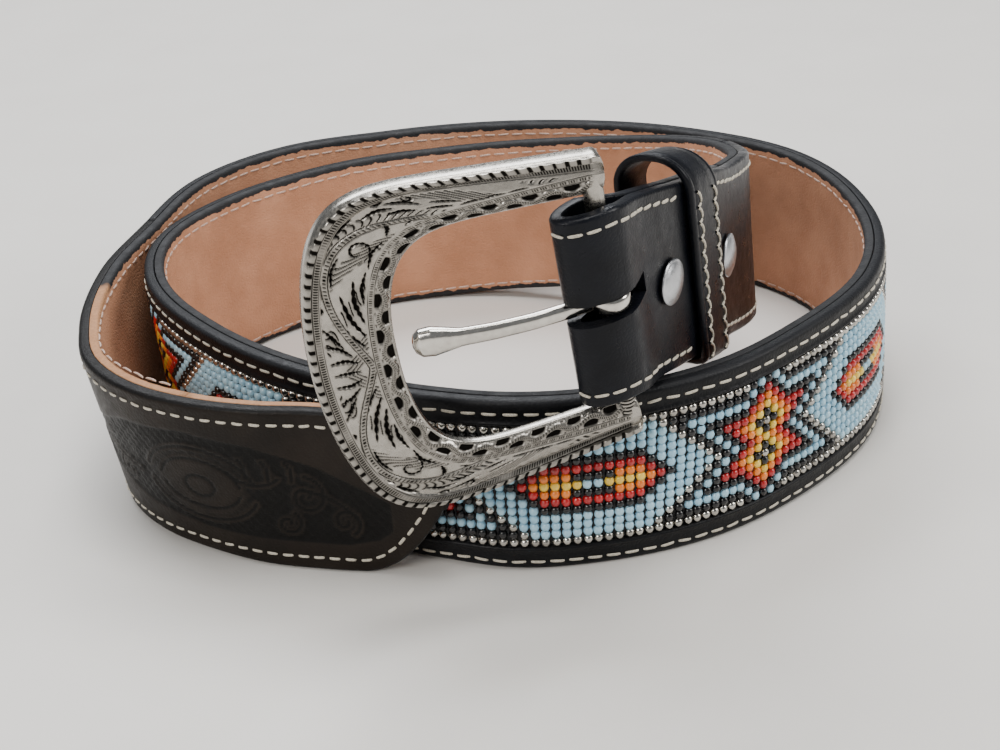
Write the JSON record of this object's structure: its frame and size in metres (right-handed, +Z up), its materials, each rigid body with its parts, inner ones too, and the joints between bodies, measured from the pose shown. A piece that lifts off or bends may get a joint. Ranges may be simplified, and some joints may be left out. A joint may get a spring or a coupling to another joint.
{
  "type": "beaded belt",
  "caption": "Leather belt with a woven bead strip, coiled on its edge, with a horseshoe buckle, a prong, a keeper loop and a tooled pointed end.",
  "frame": {"origin": "under the middle of the whole box, on the surface that the belt stands on", "axes": "+Z up, -Y to the front, where the buckle is, +X to the right as seen from the front"},
  "size_m": [0.1736, 0.1774, 0.0882],
  "materials": {
    "silver": "antique silver, dark in the recesses",
    "polished": "polished",
    "cap_metal": "worn satin",
    "black_leather": "smooth, soft sheen",
    "beads": "opaque glass beads in a woven pattern",
    "tan_leather": "bare, matt",
    "dark_leather": "tooled, satin",
    "grey_leather": "painted edge, matt"
  },
  "bodies": {
    "belt": {"strap_face": "black_leather", "bead_panel": "beads", "strap_lining": "tan_leather", "buckle_tab": "black_leather", "keeper_loop": "black_leather", "snap_cap_1": "cap_metal", "snap_cap_2": "cap_metal", "billet_face": "dark_leather", "billet_lining": "grey_leather"},
    "buckle": {"buckle_frame": "silver"},
    "prong": {"buckle_prong": "polished"}
  },
  "joints": [
    {"name": "frame_swing", "type": "hinge", "parent": "belt", "child": "buckle", "pos_m": [0.01953, -0.07468, 0.05995], "axis": [-0.126, -0.1247, 0.9842], "range_deg": [-6, 45]},
    {"name": "prong_swing", "type": "hinge", "parent": "buckle", "child": "prong", "pos_m": [0.01953, -0.07468, 0.05995], "axis": [-0.126, -0.1247, 0.9842], "range_deg": [-20, 80]}
  ]
}
